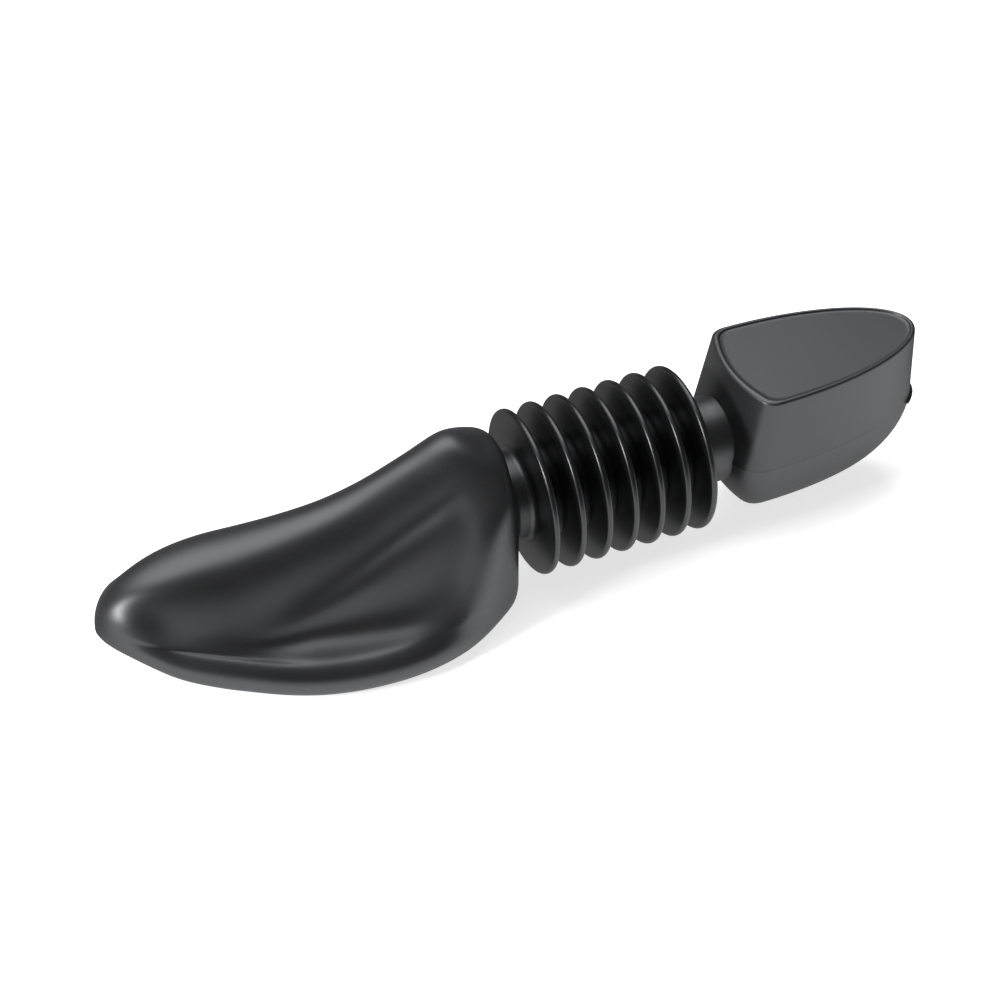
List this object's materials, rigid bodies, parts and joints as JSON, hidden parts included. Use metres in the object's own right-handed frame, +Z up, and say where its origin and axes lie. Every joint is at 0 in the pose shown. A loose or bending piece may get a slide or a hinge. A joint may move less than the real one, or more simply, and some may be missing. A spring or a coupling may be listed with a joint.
{
  "type": "shoe stretcher",
  "caption": "Black moulded plastic shoe stretcher: a hollow toe form and a heel block on a ribbed bellows that squeezes, bends and springs back",
  "frame": {"origin": "middle of the bounding box, on the floor that the sole and the keel of the heel block stand on", "axes": "+X from the toe towards the heel along the bellows axis, +Y to the left of someone who looks from the heel to the toe turned about, across the form, +Z up"},
  "size_m": [0.2366, 0.066, 0.0494],
  "materials": {
    "toe_plastic": "satin black polyethylene, as moulded",
    "bellows_plastic": "satin black polyethylene, as moulded, thin walled",
    "heel_plastic": "satin black polyethylene, as moulded"
  },
  "bodies": {
    "toe": {"toe_upper_shell": "toe_plastic", "toe_lower_shell": "toe_plastic", "toe_neck": "toe_plastic", "fold_1": "bellows_plastic"},
    "sleeve_1": {"sleeve_1": "bellows_plastic"},
    "fold_2": {"fold_2": "bellows_plastic"},
    "sleeve_2": {"sleeve_2": "bellows_plastic"},
    "fold_3": {"fold_3": "bellows_plastic"},
    "sleeve_3": {"sleeve_3": "bellows_plastic"},
    "fold_4": {"fold_4": "bellows_plastic"},
    "sleeve_4": {"sleeve_4": "bellows_plastic"},
    "fold_5": {"fold_5": "bellows_plastic"},
    "sleeve_5": {"sleeve_5": "bellows_plastic"},
    "fold_6": {"fold_6": "bellows_plastic"},
    "sleeve_6": {"sleeve_6": "bellows_plastic"},
    "heel": {"fold_7": "bellows_plastic", "heel_neck": "heel_plastic", "heel_upper_shell": "heel_plastic", "heel_lower_shell": "heel_plastic"}
  },
  "joints": [
    {"name": "up_bend_1", "type": "hinge", "parent": "toe", "child": "sleeve_1", "pos_m": [0.0029, 0, 0.025], "axis": [0, -1, 0], "range_deg": [-5, 5], "stiffness_Nm_per_rad": 3},
    {"name": "squeeze_1", "type": "slide", "parent": "sleeve_1", "child": "fold_2", "axis": [-1, 0, 0], "range_m": [-0.0005, 0.0022], "stiffness_N_per_m": 6000},
    {"name": "side_bend_2", "type": "hinge", "parent": "fold_2", "child": "sleeve_2", "pos_m": [0.01055, 0, 0.025], "axis": [0, 0, 1], "range_deg": [-5, 5], "stiffness_Nm_per_rad": 3},
    {"name": "squeeze_2", "type": "slide", "parent": "sleeve_2", "child": "fold_3", "axis": [-1, 0, 0], "range_m": [-0.0005, 0.0022], "stiffness_N_per_m": 6000},
    {"name": "up_bend_3", "type": "hinge", "parent": "fold_3", "child": "sleeve_3", "pos_m": [0.0182, 0, 0.025], "axis": [0, -1, 0], "range_deg": [-5, 5], "stiffness_Nm_per_rad": 3},
    {"name": "squeeze_3", "type": "slide", "parent": "sleeve_3", "child": "fold_4", "axis": [-1, 0, 0], "range_m": [-0.0005, 0.0022], "stiffness_N_per_m": 6000},
    {"name": "side_bend_4", "type": "hinge", "parent": "fold_4", "child": "sleeve_4", "pos_m": [0.02585, 0, 0.025], "axis": [0, 0, 1], "range_deg": [-5, 5], "stiffness_Nm_per_rad": 3},
    {"name": "squeeze_4", "type": "slide", "parent": "sleeve_4", "child": "fold_5", "axis": [-1, 0, 0], "range_m": [-0.0005, 0.0022], "stiffness_N_per_m": 6000},
    {"name": "up_bend_5", "type": "hinge", "parent": "fold_5", "child": "sleeve_5", "pos_m": [0.0335, 0, 0.025], "axis": [0, -1, 0], "range_deg": [-5, 5], "stiffness_Nm_per_rad": 3},
    {"name": "squeeze_5", "type": "slide", "parent": "sleeve_5", "child": "fold_6", "axis": [-1, 0, 0], "range_m": [-0.0005, 0.0022], "stiffness_N_per_m": 6000},
    {"name": "side_bend_6", "type": "hinge", "parent": "fold_6", "child": "sleeve_6", "pos_m": [0.04115, 0, 0.025], "axis": [0, 0, 1], "range_deg": [-5, 5], "stiffness_Nm_per_rad": 3},
    {"name": "squeeze_6", "type": "slide", "parent": "sleeve_6", "child": "heel", "axis": [-1, 0, 0], "range_m": [-0.0005, 0.0022], "stiffness_N_per_m": 6000}
  ],
  "couplings": [
    {"joint": "squeeze_1", "follows": "squeeze_6", "ratio": 1},
    {"joint": "squeeze_2", "follows": "squeeze_6", "ratio": 1},
    {"joint": "squeeze_3", "follows": "squeeze_6", "ratio": 1},
    {"joint": "squeeze_4", "follows": "squeeze_6", "ratio": 1},
    {"joint": "squeeze_5", "follows": "squeeze_6", "ratio": 1},
    {"joint": "up_bend_1", "follows": "up_bend_5", "ratio": 1},
    {"joint": "up_bend_3", "follows": "up_bend_5", "ratio": 1},
    {"joint": "side_bend_2", "follows": "side_bend_6", "ratio": 1},
    {"joint": "side_bend_4", "follows": "side_bend_6", "ratio": 1}
  ]
}
